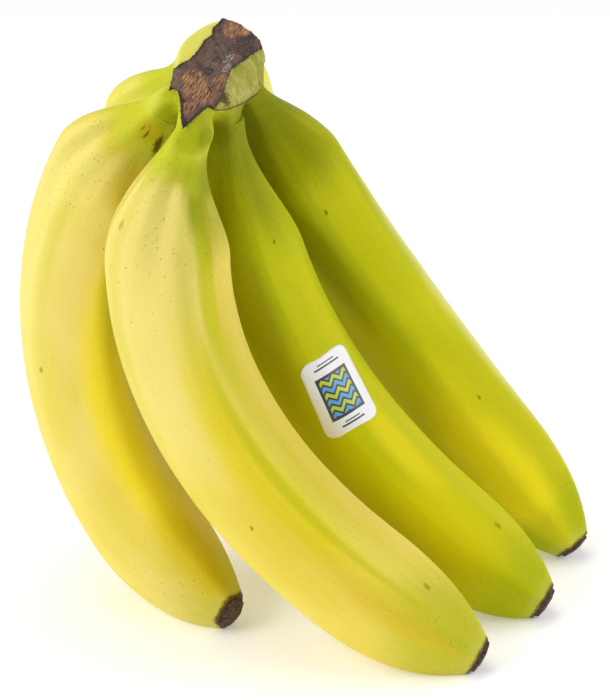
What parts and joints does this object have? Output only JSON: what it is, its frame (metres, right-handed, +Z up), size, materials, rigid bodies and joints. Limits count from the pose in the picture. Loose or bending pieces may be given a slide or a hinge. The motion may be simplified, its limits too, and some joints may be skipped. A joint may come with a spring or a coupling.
{
  "type": "bunch of bananas",
  "caption": "Cluster of ripening yellow-green bananas joined at a brown cut crown, standing on their tips, with dried blossom ends and a small plain paper label.",
  "frame": {"origin": "On the table, under the middle of the cluster's bounding box.", "axes": "+Z is up, with the crown on top and the finger tips on the table. -Y faces the side where the near ends of both rows and the label show, and +X points the way the finger tips of the inner row reach."},
  "size_m": [0.1838, 0.1826, 0.1843],
  "materials": {
    "crown_cut": "dry, fibrous dark brown cut face over greenish stalk tissue",
    "yellow_peel": "satin, slightly waxy ripe banana peel, greener at the neck and along the ridges",
    "greenish_peel": "satin, slightly waxy banana peel that is still turning from green to yellow",
    "dried_tip": "dry, rough, corky dark brown flower remnant",
    "label_paper": "coated white paper with a plain printed pattern of coloured bars"
  },
  "bodies": {
    "root": {"crown": "crown_cut", "banana_outer_near": "yellow_peel", "banana_inner_near": "yellow_peel", "banana_outer_middle": "yellow_peel", "banana_inner_middle": "greenish_peel", "banana_outer_far": "yellow_peel", "banana_inner_far": "greenish_peel", "blossom_end_outer_near": "dried_tip", "blossom_end_inner_near": "dried_tip", "blossom_end_outer_middle": "dried_tip", "blossom_end_inner_middle": "dried_tip", "blossom_end_outer_far": "dried_tip", "blossom_end_inner_far": "dried_tip", "label": "label_paper"}
  },
  "joints": []
}
